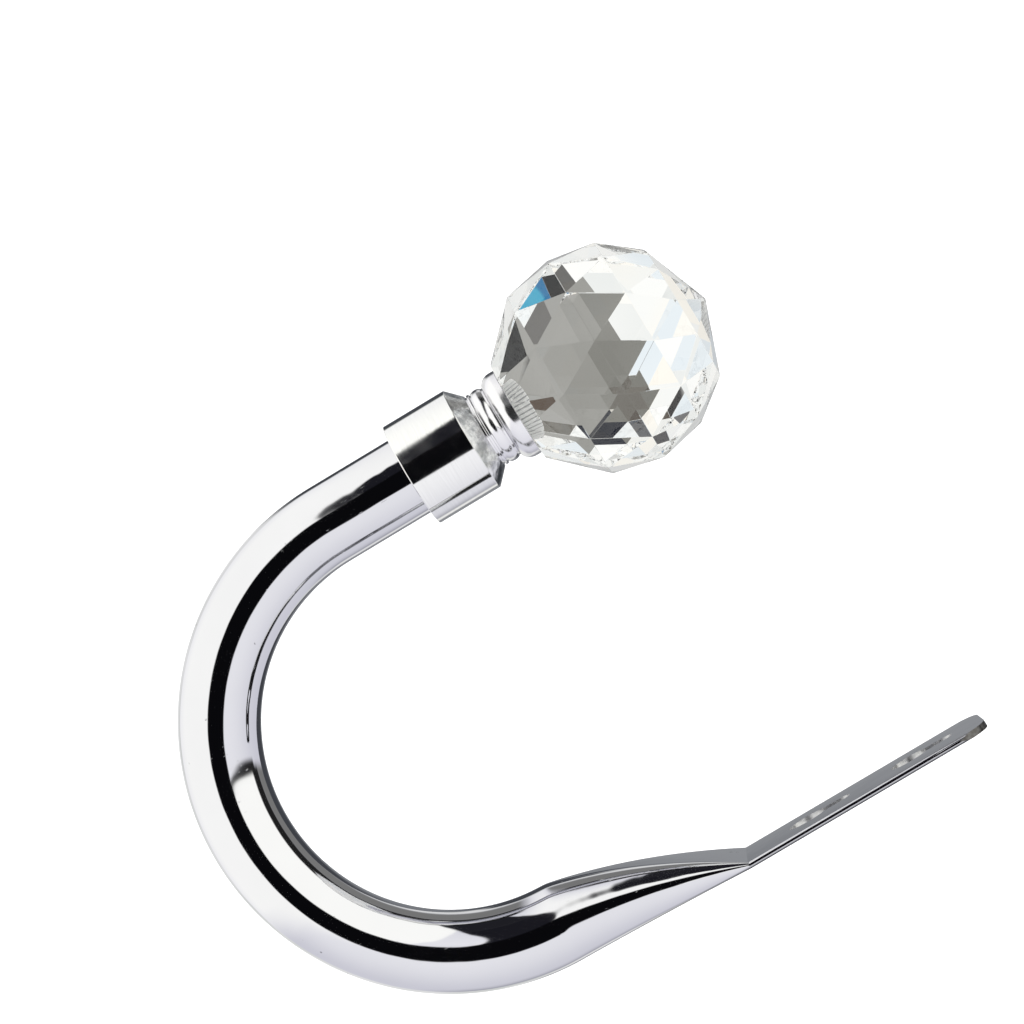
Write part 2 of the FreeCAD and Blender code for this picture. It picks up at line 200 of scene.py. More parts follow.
def prism(name, outline):
    """A cutter: an outline in x and z that runs through the tab."""
    count = len(outline)
    points = [(x, y, z) for y in (CUT_FROM_Y, CUT_TO_Y) for x, z in outline]
    faces = [tuple(range(count)), tuple(range(count, 2 * count))]
    faces += ring_faces(2, count)
    return new_object(name, new_mesh(name, points, faces))


def keyhole_outline(entry_x):
    opening = math.asin(SLOT_R / ENTRY_R)
    big = spaced(math.pi - opening, -math.pi + opening, ENTRY_STEPS)
    small = spaced(-math.pi / 2, -3 * math.pi / 2, SLOT_STEPS)
    points = [(entry_x + ENTRY_R * math.cos(a), ENTRY_R * math.sin(a)) for a in big]
    points += [(entry_x - SLIDE + SLOT_R * math.cos(a), SLOT_R * math.sin(a)) for a in small]
    return points


def corner_outline(side):
    """What is cut away outside one rounded corner of the tab's tip."""
    half_width = TAB_THICKNESS / 2 + half_flat(TAB_THICKNESS)
    x, z = TAB_TIP_X + TAB_CORNER_R, half_width - TAB_CORNER_R
    arc = [
        (x + TAB_CORNER_R * math.cos(a), side * (z + TAB_CORNER_R * math.sin(a)))
        for a in spaced(math.pi / 2, math.pi, CORNER_STEPS)
    ]
    far_x, far_z = TAB_TIP_X - CUT_MARGIN, side * (half_width + CUT_MARGIN)
    return arc + [(far_x, side * z), (far_x, far_z), (x, far_z)]


def cut_away(piece, cutters):
    for cutter in cutters:
        cut = piece.modifiers.new(cutter.name, "BOOLEAN")
        cut.operation = "DIFFERENCE"
        cut.solver = "EXACT"
        cut.object = cutter
    shaped = piece.evaluated_get(bpy.context.evaluated_depsgraph_get())
    mesh = bpy.data.meshes.new_from_object(shaped)
    mesh.materials.clear()
    piece.modifiers.clear()
    piece.data = mesh
    for cutter in cutters:
        bpy.data.objects.remove(cutter)


def tube_finish(face):
    """The finish of one face: punched in a keyhole, cut at the tip, folded at a pressed side, or plain."""
    x, y, z = face.center / MM
    across = abs(z)
    upright = abs(face.normal.y) < UPRIGHT
    if upright and TAB_TIP_X + TIP_SLACK < x < CREASE_X and across < ENTRY_R + ENTRY_SLACK:
        return PUNCHED
    if upright and x < TAB_TIP_X + TAB_CORNER_R and face.normal.x < TIPWARD:
        return CUT
    past_bend = BEND_X - x
    if past_bend > 0 and y > BEND_Y and across > half_flat(pressed_height(past_bend)):
        return FOLDED
    return PLAIN


def make_hook_tube():
    start = -BEND_LENGTH - (BEND_X - TUBE_END_X)
    tip = BEND_X - TAB_TIP_X
    before_crease, after_crease = PRESS_LENGTH - CREASE_REACH, PRESS_LENGTH + CREASE_REACH
    outside = stations(
        (start, -BEND_LENGTH, 14),
        (-BEND_LENGTH, -EASE_REACH, 150),
        (-EASE_REACH, EASE_REACH, 30),
        (EASE_REACH, before_crease, 64),
        (before_crease, after_crease, 6),
    )
    outside += [PRESS_LENGTH + past for past in TAB_RINGS] + [tip - TIP_RING, tip]
    inside = stations((start, -BEND_LENGTH, 6), (-BEND_LENGTH, 0.0, 60), (0.0, BORE_REACH, 12))
    rings = [tube_ring(t, TUBE_WALL) for t in reversed(inside)] + [tube_ring(t) for t in outside]
    size = len(rings[0])
    points = [p for ring in rings for p in ring]
    faces = ring_faces(len(rings), size)
    faces += [tuple(range(size)), tuple(range((len(rings) - 1) * size, len(rings) * size))]
    piece = new_object("bent_tube", new_mesh("bent_tube", points, faces))
    cutters = [prism(f"keyhole_{i}", keyhole_outline(x)) for i, x in enumerate(KEYHOLES_X)]
    cutters += [prism(f"corner_{i}", corner_outline(side)) for i, side in enumerate((-1, 1))]
    cut_away(piece, cutters)
    smooth_shade(piece.data, TUBE_SMOOTHING)
    for face in piece.data.polygons:
        face.material_index = tube_finish(face)
    return piece


# Turned pieces

FERRULE_STEPS, BEAD_STEPS, FLARE_STEPS, STEPS_PER_KNURL = 240, 14, 18, 10
FERRULE_SMOOTHING, NECK_SMOOTHING = 28, 24
# The radius at each rounded corner of the ferrule's profile, and where its cone's finish starts and ends
FERRULE_ROUNDINGS = {1: 0.06, 2: 0.06, 3: 0.22, 4: 0.12}
CONE_FINISH_U = (28.95, 31.25)
# The spigot's finish starts this far past the seat
SEAT_SLACK = 0.01


def on_axis(u, r, turn):
    """A point u millimetres along the finial's axis from the end of the bend."""
    return (BEND_X - u, AXIS_Y + r * math.sin(turn), r * math.cos(turn))


def lathe(name, profile, segments, grooves=0):
    """A closed profile of (u, r, groove depth) turned about the finial's axis."""
    points, spans = [], []
    for u, r, depth in profile:
        if r == 0:
            spans.append((len(points), 1))
            points.append(on_axis(u, 0, 0))
            continue
        spans.append((len(points), segments))
        for j in range(segments):
            wave = abs((j * grooves / segments) % 1 - 0.5) * 2 if grooves else 0
            points.append(on_axis(u, r - depth * wave, 2 * math.pi * j / segments))
    faces = []
    for i, (a, size_a) in enumerate(spans):
        b, size_b = spans[(i + 1) % len(spans)]
        for j in range(segments):
            k = (j + 1) % segments
            if size_a == 1 and size_b == 1:
                break
            if size_a == 1:
                faces.append((a, b + k, b + j))
            elif size_b == 1:
                faces.append((a + j, a + k, b))
            else:
                faces.append((a + j, a + k, b + k, b + j))
    return new_object(name, new_mesh(name, points, faces))


def rounded(profile, sizes, steps=4):
    """The profile with the corners named in sizes rounded by about that radius, and a ring beside each
    rounding that keeps the flats beyond it flat."""
    made = []
    count = len(profile)
    for i, (u, r) in enumerate(profile):
        if i not in sizes:
            made.append((u, r))
            continue
        here = Vector((u, r))
        before = (Vector(profile[i - 1]) - here).normalized()
        after = (Vector(profile[(i + 1) % count]) - here).normalized()
        half = before.angle(after) / 2
        reach = sizes[i] / math.tan(half)
        start, end = here + before * reach, here + after * reach
        made.append(tuple(start + before * sizes[i] / 2))
        for k in range(steps + 1):
            f = k / steps
            p = start * (1 - f) ** 2 + here * 2 * f * (1 - f) + end * f * f
            made.append((p.x, p.y))
        made.append(tuple(end + after * sizes[i] / 2))
    return made


def arc_points(start, end, centre, steps):
    """Points on a circle from start to end, the short way, without the start."""
    c = Vector(centre)
    a, b = Vector(start) - c, Vector(end) - c
    sweep = a.angle_signed(b)
    made = []
    for k in range(1, steps + 1):
        turn = Matrix.Rotation(-sweep * k / steps, 2)
        p = c + turn @ a
        made.append((p.x, p.y))
    return made


def arc_radius(run, rise):
    """The radius of an arc that rises this far over this run, up to its level end."""
    return (run**2 + rise**2) / (2 * rise)


def make_ferrule():
    profile = [
        (FERRULE_U, SOCKET_R),
        (FERRULE_U, FERRULE_R - FERRULE_EDGE),
        (FERRULE_U + FERRULE_EDGE, FERRULE_R),
        (CONE_U, FERRULE_R),
        (NECK_U, CONE_END_R),
        (NECK_U, STUD_HOLE_R),
        (SOCKET_END_U, STUD_HOLE_R),
        (SOCKET_END_U, SOCKET_R),
    ]
    soft = rounded(profile, FERRULE_ROUNDINGS)
    piece = lathe("ferrule_body", [(u, r, 0) for u, r in soft], FERRULE_STEPS)
    smooth_shade(piece.data, FERRULE_SMOOTHING)
    low, high = CONE_FINISH_U
    for face in piece.data.polygons:
        face.material_index = int(low < BEND_X - face.center.x / MM < high)
    return piece


def make_neck():
    """The ring, the bead and the flared cup, and the knurled spigot that goes into the ball."""
    ring_start, ring_end = RING_U
    bead_start, bead_end = BEAD_U
    flare_start, flare_end = FLARE_U
    bead_round = arc_radius((bead_end - bead_start) / 2, BEAD_R - BEAD_EDGE_R)
    bead_centre = ((bead_start + bead_end) / 2, BEAD_R - bead_round)
    flare_round = arc_radius(flare_end - flare_start, CUP_R - NECK_R)
    flare_centre = (flare_end, CUP_R - flare_round)
    ring = [(ring_start, NECK_R), (ring_start, RING_R), (ring_end, RING_R), (ring_end, NECK_R)]
    cup_edge = [(flare_end, CUP_R), (SEAT_U, CUP_R), (SEAT_U, SPIGOT_R)]
    head = [(NECK_U, STUD_R), (NECK_U, NECK_R), (ring_start, NECK_R)]
    head += rounded(ring, {1: RING_ROUNDING, 2: RING_ROUNDING})[1:]
    head += [(bead_start, NECK_R), (bead_start, BEAD_EDGE_R)]
    head += arc_points((bead_start, BEAD_EDGE_R), (bead_end, BEAD_EDGE_R), bead_centre, BEAD_STEPS)
    head += [(bead_end, NECK_R), (flare_start, NECK_R)]
    head += arc_points((flare_start, NECK_R), (flare_end, CUP_R), flare_centre, FLARE_STEPS)
    head += rounded(cup_edge, {1: CUP_ROUNDING})[1:-1]
    profile = [(u, r, 0) for u, r in head]
    profile += [(SEAT_U, SPIGOT_R, KNURL_DEPTH), (SPIGOT_U - SPIGOT_EDGE, SPIGOT_R, KNURL_DEPTH)]
    profile += [(SPIGOT_U, SPIGOT_R - SPIGOT_EDGE, KNURL_END_DEPTH), (SPIGOT_U, 0, 0)]
    profile += [(STUD_END_U, 0, 0), (STUD_END_U, STUD_R, 0)]
    piece = lathe("neck_body", profile, STEPS_PER_KNURL * KNURLS, grooves=KNURLS)
    smooth_shade(piece.data, NECK_SMOOTHING)
    for face in piece.data.polygons:
        face.material_index = int(face.center.x < (BEND_X - SEAT_U - SEAT_SLACK) * MM)
    return piece


# Glass ball


def make_ball():
    """Rows of flat triangles between staggered rings of corners, with a flat table at the neck."""
    centre = Vector((BEND_X - BALL_U, AXIS_Y, 0))
    table = -math.degrees(math.acos(TABLE_R / BALL_R))
    points = [centre + Vector((-BALL_R, 0, 0))]
    rows = list(BALL_ROWS) + [table]
    for row, latitude in enumerate(rows):
        lat = math.radians(latitude)
        for i in range(FACETS_PER_ROW):
            turn = math.radians(BALL_TURN + 360 / FACETS_PER_ROW * (i + 0.5 * (row % 2)))
            away = BALL_R * math.cos(lat)
            points.append(
                centre + Vector((-BALL_R * math.sin(lat), away * math.sin(turn), away * math.cos(turn)))
            )
    n = FACETS_PER_ROW
    faces = [(0, 1 + i, 1 + (i + 1) % n) for i in range(n)]
    for row in range(len(rows) - 1):
        a, b = 1 + row * n, 1 + (row + 1) * n
        for i in range(n):
            k = (i + 1) % n
            if row % 2 == 0:
                faces += [(a + i, a + k, b + i), (a + k, b + k, b + i)]
            else:
                faces += [(a + i, b + k, b + i), (a + i, a + k, b + k)]
    last = 1 + (len(rows) - 1) * n
    faces.append(tuple(range(last, last + n)))
    piece = new_object("cut_ball", new_mesh("cut_ball", points, faces))
    edge = piece.modifiers.new("ground_edges", "BEVEL")
    edge.width = GROUND_EDGE * MM
    edge.segments = 1
    edge.limit_method = "ANGLE"
    edge.angle_limit = math.radians(GROUND_ANGLE)
    return piece


# Materials

# The painted dark reflection along the rim of the pressed sides, in millimetres: the y where it is darkest,
# and where past the bend it starts and is full
RIM_FULL_Y = -0.12
RIM_START, RIM_FULL = 4.0, 16.0
PAINTED_RIM_REFLECTION_COLOUR, PIT_COLOUR = (0.05, 0.052, 0.06), (0.05, 0.05, 0.055)
# Scales of the marks, per metre, their depths in metres and the hairlines' turn in radians
PIT_SCALE, PIT_GROUP_SCALE, HAZE_SCALE, WAVE_SCALE = 420.0, 260.0, 90.0, 160.0
HAIRLINE_SCALE, HAIRLINE_TURN, HAIRLINE_DEPTH = (300.0, 2600.0, 2600.0), (0.2, 0.1, 0.7), 0.000004
TURNING_SCALE, TURNING_DEPTH = (5200.0, 160.0, 160.0), 0.0000025
# Which part of the noise makes a pit or a hairline, where a pit's edge starts and ends, and its dullness
PIT_CHOICE, HAIRLINE_CHOICE = (0.60, 0.66), (0.70, 0.80)
PIT_EDGE, PIT_ROUGHNESS = (0.16, 0.06), 0.3
TURNED_PATCH_SCALE, TURNED_ROUGHNESS = 240.0, (0.05, 0.10)
# The spigot's bright metal, and the painted shade in the grooves of its knurl
KNURL_BRIGHT, KNURL_GROOVE_PAINTED_SHADE = (1.0, 1.0, 0.99), (0.55, 0.55, 0.56)
GLASS_INDEX, GLASS_TINTS, GLASS_TINT_SCALE = 1.52, ((0.985, 0.99, 0.99), (1.0, 1.0, 1.0)), 60.0


def new_material(name):
    material = bpy.data.materials.new(name)
    material.use_nodes = True
    nodes = material.node_tree.nodes
    return material, material.node_tree, nodes["Principled BSDF"]


def feed(tree, socket, value):
    """Links the socket to another one, or sets its own value."""
    if isinstance(value, bpy.types.NodeSocket):
        tree.links.new(value, socket)
    else:
        socket.default_value = (*value, 1.0) if socket.type == "RGBA" else value


def math_of(tree, operation, a, b=0.0):
    node = tree.nodes.new("ShaderNodeMath")
    node.operation = operation
    feed(tree, node.inputs[0], a)
    feed(tree, node.inputs[1], b)
    return node.outputs[0]


def span(tree, value, low, high, start=0.0, end=1.0):
    """The value, mapped smoothly from low..high to start..end and held there outside."""
    node = tree.nodes.new("ShaderNodeMapRange")
    node.interpolation_type = "SMOOTHSTEP"
    tree.links.new(value, node.inputs["Value"])
    for name, number in zip(("From Min", "From Max", "To Min", "To Max"), (low, high, start, end)):
        node.inputs[name].default_value = number
    return node.outputs["Result"]


def colour_mix(tree, share, a, b):
    node = tree.nodes.new("ShaderNodeMix")
    node.data_type = "RGBA"
    tree.links.new(share, node.inputs["Factor"])
    for name, value in (("A", a), ("B", b)):
        socket = [s for s in node.inputs if s.name == name and s.type == "RGBA"][0]
        feed(tree, socket, value)
    return [s for s in node.outputs if s.type == "RGBA"][0]


def noise(tree, place, scale, detail=2.0, roughness=0.5):
    node = tree.nodes.new("ShaderNodeTexNoise")
    tree.links.new(place, node.inputs["Vector"])
    node.inputs["Scale"].default_value = scale
    node.inputs["Detail"].default_value = detail
    node.inputs["Roughness"].default_value = roughness
    return node.outputs["Fac"]


def bump(tree, height, distance, under=None):
    node = tree.nodes.new("ShaderNodeBump")
    node.inputs["Strength"].default_value = 1.0
    node.inputs["Distance"].default_value = distance
    tree.links.new(height, node.inputs["Height"])
    if under is not None:
        tree.links.new(under, node.inputs["Normal"])
    return node.outputs["Normal"]


def coordinates(tree, place):
    node = tree.nodes.new("ShaderNodeSeparateXYZ")
    tree.links.new(place, node.inputs[0])
    return node.outputs["X"], node.outputs["Y"], node.outputs["Z"]


def stretched(tree, place, scale, turn=(0.0, 0.0, 0.0)):
    node = tree.nodes.new("ShaderNodeMapping")
    node.inputs["Scale"].default_value = scale
    node.inputs["Rotation"].default_value = turn
    tree.links.new(place, node.inputs["Vector"])
    return node.outputs["Vector"]


def painted_rim_reflection_share(tree, place):
    """Where the painted dark reflection lies: where the pressed sides turn in towards the wall, past the end
    of the bend.
    """
    x, y, _ = coordinates(tree, place)
    near = span(tree, y, -TAB_THICKNESS / 2 * MM, RIM_FULL_Y * MM)
    past = span(tree, x, (BEND_X - RIM_START) * MM, (BEND_X - RIM_FULL) * MM)
    return math_of(tree, "MULTIPLY", near, past)


def chrome(name, tint, wave, pits, haze_low, haze_high, rim=False):
    """Mirror plate: slow waviness under it, a fine haze, hairline scratches and a few tiny dark pits. With a
    rim, a painted dark reflection darkens it where the pressed sides turn in towards the wall."""
    material, tree, shader = new_material(name)
    place = tree.nodes.new("ShaderNodeTexCoord").outputs["Object"]
    shader.inputs["Metallic"].default_value = 1.0
    spots = tree.nodes.new("ShaderNodeTexVoronoi")
    spots.inputs["Scale"].default_value = PIT_SCALE
    tree.links.new(place, spots.inputs["Vector"])
    chosen = span(tree, noise(tree, place, PIT_GROUP_SCALE, 3.0), *PIT_CHOICE)
    pit = math_of(tree, "MULTIPLY", span(tree, spots.outputs["Distance"], *PIT_EDGE), chosen)
    pit = math_of(tree, "MULTIPLY", pit, pits)
    haze = noise(tree, place, HAZE_SCALE, 4.0)
    clean = colour_mix(tree, haze, [c * 0.97 for c in tint], [min(1.0, c * 1.03) for c in tint])
    if rim:
        # Painted dark reflection: the rim by the wall is coloured dark, as if it mirrored something dark
        clean = colour_mix(tree, painted_rim_reflection_share(tree, place), clean, PAINTED_RIM_REFLECTION_COLOUR)
    tree.links.new(colour_mix(tree, pit, clean, PIT_COLOUR), shader.inputs["Base Color"])
    rough = span(tree, haze, 0.3, 0.7, haze_low, haze_high)
    rough = math_of(tree, "ADD", rough, math_of(tree, "MULTIPLY", pit, PIT_ROUGHNESS))
    tree.links.new(rough, shader.inputs["Roughness"])
    slow = bump(tree, noise(tree, place, WAVE_SCALE, 1.0), wave)
    scratches = noise(tree, stretched(tree, place, HAIRLINE_SCALE, HAIRLINE_TURN), 1.0, 2.0)
    fine = bump(tree, span(tree, scratches, *HAIRLINE_CHOICE), HAIRLINE_DEPTH, slow)
    tree.links.new(fine, shader.inputs["Normal"])
    return material


def brushed(name, tint):
    """Steel turned on a lathe: fine rings round the finial's axis that break up its highlights."""
    material, tree, shader = new_material(name)
    place = tree.nodes.new("ShaderNodeTexCoord").outputs["Object"]
    shader.inputs["Metallic"].default_value = 1.0
    rings = noise(tree, stretched(tree, place, TURNING_SCALE), 1.0, 3.0, 0.6)
    patches = noise(tree, place, TURNED_PATCH_SCALE, 3.0)
    tint_low, tint_high = [c * 0.90 for c in tint], [min(1.0, c * 1.06) for c in tint]
    tree.links.new(colour_mix(tree, rings, tint_low, tint_high), shader.inputs["Base Color"])
    tree.links.new(span(tree, patches, 0.3, 0.7, *TURNED_ROUGHNESS), shader.inputs["Roughness"])
    tree.links.new(bump(tree, rings, TURNING_DEPTH), shader.inputs["Normal"])
    return material


def satin(name, dark, light, rough, size, depth):
    """Metal as it leaves the tool or the mould: dull and blotched, with fine marks."""
    material, tree, shader = new_material(name)
    place = tree.nodes.new("ShaderNodeTexCoord").outputs["Object"]
    shader.inputs["Metallic"].default_value = 1.0
    marks = span(tree, noise(tree, place, size, 3.0), 0.3, 0.7)
    tree.links.new(colour_mix(tree, marks, dark, light), shader.inputs["Base Color"])
    tree.links.new(span(tree, marks, 0.0, 1.0, rough * 0.8, rough * 1.2), shader.inputs["Roughness"])
    tree.links.new(bump(tree, marks, depth), shader.inputs["Normal"])
    return material


def knurled(name):
    """Bright satin metal, with painted shade darkening its grooves along the finial's axis."""
    material, tree, shader = new_material(name)
    place = tree.nodes.new("ShaderNodeTexCoord").outputs["Object"]
    _, y, z = coordinates(tree, place)
    turn = math_of(tree, "ARCTAN2", math_of(tree, "SUBTRACT", y, AXIS_Y * MM), z)
    # Painted shade: the colour is darker where each groove of the knurl lies
    wave = math_of(tree, "COSINE", math_of(tree, "MULTIPLY", turn, float(KNURLS)))
    metal = colour_mix(tree, span(tree, wave, 0.4, 0.95), KNURL_BRIGHT, KNURL_GROOVE_PAINTED_SHADE)
    tree.links.new(metal, shader.inputs["Base Color"])
    shader.inputs["Metallic"].default_value = 0.4
    shader.inputs["Roughness"].default_value = 0.35
    return material


def crystal(name):
    """Clear polished glass with the faintest cloud in its tint."""
    material, tree, shader = new_material(name)
    place = tree.nodes.new("ShaderNodeTexCoord").outputs["Object"]
    shader.inputs["Transmission Weight"].default_value = 1.0
    shader.inputs["IOR"].default_value = GLASS_INDEX
    cloud = noise(tree, place, GLASS_TINT_SCALE, 2.0)
    tint = colour_mix(tree, cloud, *GLASS_TINTS)
    tree.links.new(tint, shader.inputs["Base Color"])
    shader.inputs["Roughness"].default_value = 0.0
    return material


# Studio


def make_camera():
    lens = bpy.data.cameras.new("camera")
    lens.sensor_fit = "HORIZONTAL"
    lens.sensor_width = 36.0
    lens.angle = math.radians(CAMERA_FIELD)
    lens.clip_start, lens.clip_end = 0.01, 100.0
    camera = bpy.data.objects.new("camera", lens)
    turn = Matrix((RIGHT, UP, TOWARD)).transposed().to_4x4()
    camera.matrix_world = Matrix.Translation(CAMERA_PLACE) @ turn
    bpy.context.scene.collection.objects.link(camera)
    bpy.context.scene.camera = camera


# What the metal mirrors, as the camera sees it, in degrees. Each light or dark area: colour, the middle and
# half width of its bearing and how soft those edges are, how its bearing leans with the angle from the
# camera, and the angles from the camera where it starts and ends, each with its softness. A later area lies
# over the earlier ones
PANELS = (
    ((1.37, 1.37, 1.31), 176, 54, 12, 0.0, (-9, 1), (189, 1)),
    ((1.42, 1.42, 1.34), 55, 45, 1, 0.0, (-9, 1), (87, 5)),
    ((0.02, 0.02, 0.02), 9.5, 2.2, 2.5, 0.0, (-9, 1), (95, 4)),
    ((1.12, 1.12, 1.14), 176, 54, 12, 0.0, (125, 50), (189, 1)),
    ((0.015, 0.015, 0.02), 117, 10.9, 1.5, 0.51, (-9, 1), (63, 2)),
    ((0.02, 0.02, 0.025), 116.3, 10.8, 1.5, 0.4, (62, 2), (100, 6)),
    ((0.02, 0.02, 0.02), 64, 55, 4, 0.0, (85, 4), (106, 4)),
    ((0.26, 0.26, 0.25), 64, 55, 5, 0.0, (105, 5), (134, 14)),
    ((0.05, 0.055, 0.09), -74, 20, 14, 0.0, (132, 44), (189, 1)),
)
# The angle from the camera at which a leaning area is at its own bearing
LEAN_ANGLE = 55.0
# The tone between the areas, and the angles from the camera over which it changes
BASE_NEAR, BASE_FAR = (1.14, 1.14, 1.16), (0.84, 0.84, 0.91)
BASE_ANGLES = (20, 135)
# What the camera and matt surfaces see, and what the polished glass mirrors
BACKDROP = (1.0, 1.0, 1.0)
FACET_GLINT = (0.30, 0.30, 0.31)
# The dark openings round the camera: bearing and angle of the middle, radius and softness
OPENINGS = ((172, 8.5, 19.7, 3), (-100, 5.0, 17, 3))
OPENING_DARK = (0.004, 0.004, 0.005)
# What lies under the object, in degrees right of and above straight down: a pale surface, and on it a round
# shade with one straight side. The metal and the glass see both in their own tones
UNDER_RADIUS, UNDER_SOFT = 47, 4
UNDER_PALE, UNDER_GREY = (0.80, 0.82, 0.79), (1.0, 1.0, 0.985)
SHADE_PLACE, SHADE_RADIUS, SHADE_SOFT = (18, 5), 35, 1.5
SHADE_SIDE_BEARING, SHADE_SIDE, SIDE_SOFT = 30, -7.7, 0.6
METAL_LIGHT = (0.31, 0.32, 0.335)
METAL_MIDDLE = (0.25, 0.26, 0.275)
METAL_DARK = (0.07, 0.075, 0.085)
# How the shade turns lighter or darker: the bearing, and the sines along it where that starts and is full
METAL_LIGHTER, METAL_DARKER, GLASS_DARKER = (-31, -0.10, -0.01), (8, 0.14, 0.45), (0, 0.36, -0.12)
# Scales of the clouds on the pale surface, of its hues and of the mottling in the shade
METAL_CLOUD_SCALE, GLASS_CLOUD_SCALE, GLASS_HUE_SCALE, GLASS_MOTTLE_SCALE = 5.0, 3.2, 6.0, 14.0
# Darker places under the object as the metal sees it: place and radius
METAL_SPOTS = ((-10.6, 17, 8), (-18, 29, 9))
SPOT_SOFT = 4
GLASS_LIGHT, GLASS_DARK = (0.38, 0.376, 0.352), (0.19, 0.187, 0.165)
GLASS_PALE, GLASS_GREY = (0.86, 0.88, 0.86), (1.08, 1.08, 1.05)
GLASS_CREAM, GLASS_BLUE = (1.06, 1.02, 0.93), (0.85, 0.92, 0.96)
# Small things that the glass alone shows: place, radius and colour
PATCHES = (
    (29, -10.5, 3.0, (0.17, 0.165, 0.155)),
    (33, -23, 5.0, (0.0, 0.16, 0.37)),
    (32.5, -23.5, 0.2, (0.04, 0.40, 0.60)),
    (23.6, -27.9, 2.2, (0.0, 0.0, 0.0)),
    (19.6, -30.1, 2.2, (0.12, 0.115, 0.105)),
    (40, 12, 2.6, (0.03, 0.015, 0.11)),
    (46, 6.05, 6.0, (0.0, 0.0, 0.0)),
    (30.5, 19, 2.4, (0.09, 0.06, 0.04)),
    (27, 38, 4.0, (0.12, 0.11, 0.085)),
    (3, 34, 4.0, (0.0, 0.002, 0.012)),
    (-6, 17.5, 2.5, (0.16, 0.15, 0.13)),
    (-15, 22, 4.0, (0.09, 0.075, 0.06)),
    (-20.6, 37, 1.4, (0.06, 0.06, 0.065)),
    (-26.6, 17, 1.2, (0.02, 0.02, 0.022)),
)
PATCH_SOFT = 0.2
# How often a ray may bend or turn back inside the ball
BOUNCES = 32
# The floor, in metres, and its own light: strength, and how wide it is in degrees
FLOOR_SIZE, FLOOR_HEIGHT = 6.0, -0.14
FLOOR_LIGHT, FLOOR_LIGHT_WIDTH = 2.0, 120
FLOOR_TONES = ((0.93, 0.93, 0.93), (0.95, 0.95, 0.95))


def bearing(degrees):
    """A direction across the picture, anticlockwise from its right."""
    turn = math.radians(degrees)
    return RIGHT * math.cos(turn) + UP * math.sin(turn)


def along(tree, place, axis):
    node = tree.nodes.new("ShaderNodeVectorMath")
    node.operation = "DOT_PRODUCT"
    tree.links.new(place, node.inputs[0])
    node.inputs[1].default_value = axis
    return node.outputs["Value"]


def window(tree, value, low, low_soft, high, high_soft):
    rise = span(tree, value, low - low_soft / 2, low + low_soft / 2)
    fall = span(tree, value, high + high_soft / 2, high - high_soft / 2)
    return math_of(tree, "MULTIPLY", rise, fall)


def below(right, up):
    """A direction given in degrees right of and above straight down."""
    away = math.radians(math.hypot(right, up))
    return bearing(math.degrees(math.atan2(up, right))) * math.sin(away) - TOWARD * math.cos(away)


def apart(tree, place, axis):
    """Degrees between the direction and the axis."""
    return math_of(tree, "MULTIPLY", math_of(tree, "ARCCOSINE", along(tree, place, axis)), math.degrees(1))


def disc(tree, place, axis, radius, soft):
    return span(tree, apart(tree, place, axis), radius + soft / 2, radius - soft / 2)


def slope(tree, place, side, start, full):
    """A share that changes along a bearing, from none at the sine start to all at the sine full."""
    return span(tree, along(tree, place, bearing(side)), start, full)


def under_shade(tree, place):
    """Where the shade lies under the object."""
    low, high = (math.sin(math.radians(SHADE_SIDE + soft)) for soft in (-SIDE_SOFT, SIDE_SOFT))
    side = slope(tree, place, SHADE_SIDE_BEARING, low, high)
    spot = disc(tree, place, below(*SHADE_PLACE), SHADE_RADIUS, SHADE_SOFT)
    return math_of(tree, "MULTIPLY", side, spot)


def metal_sky(tree, place):
    """What the metal mirrors: the areas round the object, what lies under it, and the dark openings."""
    angle = apart(tree, place, TOWARD)
    shade = colour_mix(tree, span(tree, angle, *BASE_ANGLES), BASE_NEAR, BASE_FAR)
    for colour, middle, half, soft, lean, start, end in PANELS:
        across = along(tree, place, bearing(middle + 90))
        ahead = along(tree, place, bearing(middle))
        turn = math_of(tree, "MULTIPLY", math_of(tree, "ARCTAN2", across, ahead), math.degrees(1))
        shift = math_of(tree, "MULTIPLY", math_of(tree, "SUBTRACT", angle, LEAN_ANGLE), lean)
        turn = math_of(tree, "ADD", turn, shift)
        inside = window(tree, turn, -half, soft, half, soft)
        inside = math_of(tree, "MULTIPLY", inside, window(tree, angle, *start, *end))
        shade = colour_mix(tree, inside, shade, colour)
    cloud = span(tree, noise(tree, place, METAL_CLOUD_SCALE, 2.0), 0.35, 0.65)
    pale = colour_mix(tree, cloud, UNDER_PALE, UNDER_GREY)
    shade = colour_mix(tree, disc(tree, place, -TOWARD, UNDER_RADIUS, UNDER_SOFT), shade, pale)
    grey = colour_mix(tree, slope(tree, place, *METAL_LIGHTER), METAL_MIDDLE, METAL_LIGHT)
    grey = colour_mix(tree, slope(tree, place, *METAL_DARKER), grey, METAL_DARK)
    shade = colour_mix(tree, under_shade(tree, place), shade, grey)
    for right, up, radius in METAL_SPOTS:
        shade = colour_mix(tree, disc(tree, place, below(right, up), radius, SPOT_SOFT), shade, METAL_DARK)
    for side, tilt, radius, soft in OPENINGS:
        axis = bearing(side) * math.sin(math.radians(tilt)) + TOWARD * math.cos(math.radians(tilt))
        shade = colour_mix(tree, disc(tree, place, axis, radius, soft), shade, OPENING_DARK)
    return shade


